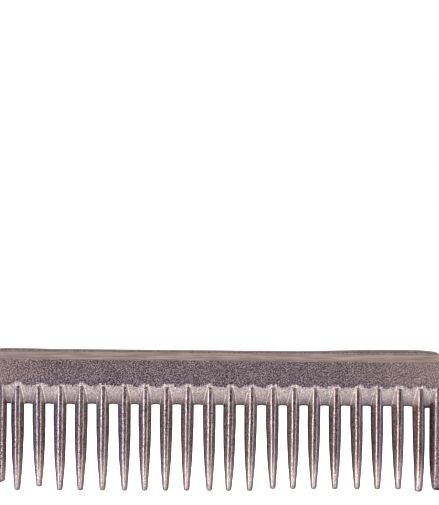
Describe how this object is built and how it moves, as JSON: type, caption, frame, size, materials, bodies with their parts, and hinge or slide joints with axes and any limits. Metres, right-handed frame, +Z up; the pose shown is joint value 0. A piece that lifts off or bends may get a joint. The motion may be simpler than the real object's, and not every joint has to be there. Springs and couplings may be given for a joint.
{
  "type": "grooming comb",
  "caption": "Small metal grooming comb: a bevelled flat spine bar, tapered teeth with a narrow ridge on each face, and a wide guard tooth at each end.",
  "frame": {"origin": "on the mid-plane of the thickness, midway along the comb, level with the tips of the teeth", "axes": "+X along the comb to the right-hand guard as seen from the front, +Y through the thickness to the rear face, +Z up from the tips to the top of the spine bar"},
  "size_m": [0.1016, 0.0038, 0.031],
  "materials": {
    "cast_metal": "grainy cast surface with a ground bevel",
    "tooth_metal": "satin flanks with rubbed, brighter ridge edges and tips"
  },
  "bodies": {
    "root": {"spine_bar": "cast_metal", "end_guard_left": "cast_metal", "end_guard_right": "cast_metal", "tooth_01": "tooth_metal", "tooth_02": "tooth_metal", "tooth_03": "tooth_metal", "tooth_04": "tooth_metal", "tooth_05": "tooth_metal", "tooth_06": "tooth_metal", "tooth_07": "tooth_metal", "tooth_08": "tooth_metal", "tooth_09": "tooth_metal", "tooth_10": "tooth_metal", "tooth_11": "tooth_metal", "tooth_12": "tooth_metal", "tooth_13": "tooth_metal", "tooth_14": "tooth_metal", "tooth_15": "tooth_metal", "tooth_16": "tooth_metal", "tooth_17": "tooth_metal", "tooth_18": "tooth_metal", "tooth_19": "tooth_metal", "tooth_20": "tooth_metal"}
  },
  "joints": []
}
